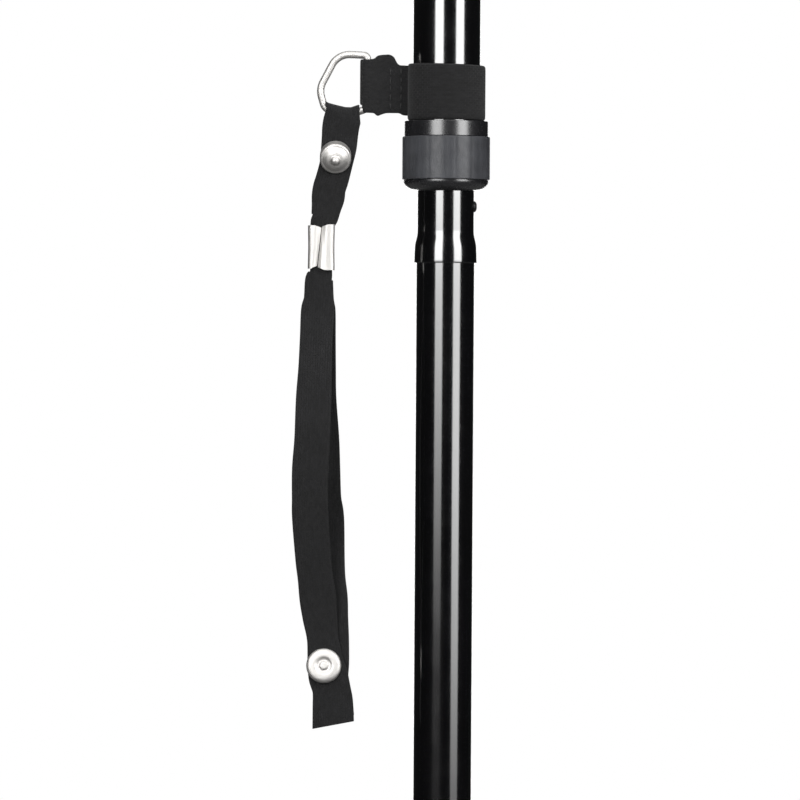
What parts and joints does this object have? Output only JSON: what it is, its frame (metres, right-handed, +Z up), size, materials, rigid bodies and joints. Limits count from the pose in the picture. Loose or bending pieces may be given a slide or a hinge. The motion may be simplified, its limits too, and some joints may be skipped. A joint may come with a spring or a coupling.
{
  "type": "folding quad cane",
  "caption": "Black folding walking cane with a bent handle, screw lock collar, push-button height setting, looped wrist strap on a ring, and a base with rubber-tipped legs.",
  "frame": {"origin": "on the floor under the middle of the footprint, which is the middle of the bounding box's bottom", "axes": "+Z up along the shaft, +X towards the handle's bend, the grip and the wrist strap lie on the -X side, -Y is the side that the picture shows"},
  "size_m": [0.198, 0.156, 0.8493],
  "materials": {
    "black_tube": "gloss black powder coat on drawn tube",
    "black_steel": "satin black paint on steel",
    "gloss_plastic": "moulded black plastic, glossy",
    "dark_plastic": "moulded black plastic, matte",
    "grey_rubber": "matte dark grey ribbed rubber",
    "black_rubber": "matte black rubber",
    "foam": "closed-cell black foam",
    "webbing": "charcoal woven webbing",
    "elastic_cord": "white braided sleeve on rubber",
    "nickel": "bright nickel plate",
    "bright_steel": "zinc-plated steel",
    "bright_aluminium": "bare drawn aluminium",
    "black_rivet": "black coated rivet"
  },
  "bodies": {
    "base": {"leg_tube_left": "black_tube", "leg_tube_right": "black_tube", "base_plate": "black_steel", "shaft_socket": "black_steel", "socket_bolt": "bright_steel", "socket_nut": "bright_steel", "plate_rivet_front_left": "bright_steel", "plate_rivet_rear_left": "bright_steel", "plate_rivet_front_right": "bright_steel", "plate_rivet_rear_right": "bright_steel", "rubber_tip_front_left": "black_rubber", "rubber_tip_rear_left": "black_rubber", "rubber_tip_front_right": "black_rubber", "rubber_tip_rear_right": "black_rubber", "lower_tube": "black_tube", "lower_cord_anchor": "dark_plastic", "elastic_cord_lower": "elastic_cord"},
    "middle_section": {"middle_tube": "black_tube", "lower_spigot": "bright_aluminium", "lower_joint_rivet": "black_rivet", "elastic_cord_upper": "elastic_cord"},
    "upper_section": {"inner_tube": "black_tube", "upper_spigot": "bright_aluminium", "upper_joint_rivet": "black_rivet", "upper_cord_anchor": "dark_plastic", "button_spring": "bright_steel"},
    "button": {"snap_button": "bright_steel"},
    "handle": {"handle_tube": "black_tube", "foam_grip": "foam", "grip_end_plug": "dark_plastic", "collar_sleeve": "gloss_plastic"},
    "collar_nut": {"lock_nut": "gloss_plastic", "nut_grip_ring": "grey_rubber"},
    "strap_mount": {"strap_band": "webbing", "ring_loop": "webbing"},
    "ring": {"d_ring": "nickel"},
    "strap": {"wrist_strap": "webbing", "strap_crimp": "nickel", "upper_snap": "nickel", "upper_snap_back": "nickel", "lower_snap": "nickel", "lower_snap_back": "nickel"}
  },
  "joints": [
    {"name": "lower_pull", "type": "slide", "parent": "base", "child": "middle_section", "axis": [0, 0, 1], "range_m": [0, 0.045], "stiffness_N_per_m": 250, "springref_m": -0.08, "deforming": ["elastic_cord_lower"]},
    {"name": "upper_pull", "type": "slide", "parent": "middle_section", "child": "upper_section", "axis": [0, 0, 1], "range_m": [0, 0.045], "stiffness_N_per_m": 250, "springref_m": -0.08, "deforming": ["elastic_cord_upper"]},
    {"name": "height_slide", "type": "slide", "parent": "upper_section", "child": "handle", "axis": [0, 0, 1], "range_m": [0, 0.12]},
    {"name": "button_press", "type": "slide", "parent": "upper_section", "child": "button", "axis": [0, -1, 0], "range_m": [0, 0.0045], "stiffness_N_per_m": 1500, "springref_m": -0.002, "deforming": ["button_spring"]},
    {"name": "collar_turn", "type": "hinge", "parent": "handle", "child": "collar_nut", "pos_m": [0, -0.017, 0.5136], "axis": [0, 0, 1], "range_deg": [-360, 0]},
    {"name": "strap_turn", "type": "hinge", "parent": "handle", "child": "strap_mount", "pos_m": [0, -0.017, 0.5368], "axis": [0, 0, 1], "continuous": true},
    {"name": "ring_swing", "type": "hinge", "parent": "strap_mount", "child": "ring", "pos_m": [-0.0259, -0.017, 0.5478], "axis": [0, 0, 1], "range_deg": [-100, 100]},
    {"name": "strap_swing", "type": "hinge", "parent": "ring", "child": "strap", "pos_m": [-0.0337, -0.017, 0.53915], "axis": [0.9858, 0, -0.1677], "range_deg": [-75, 75]}
  ]
}
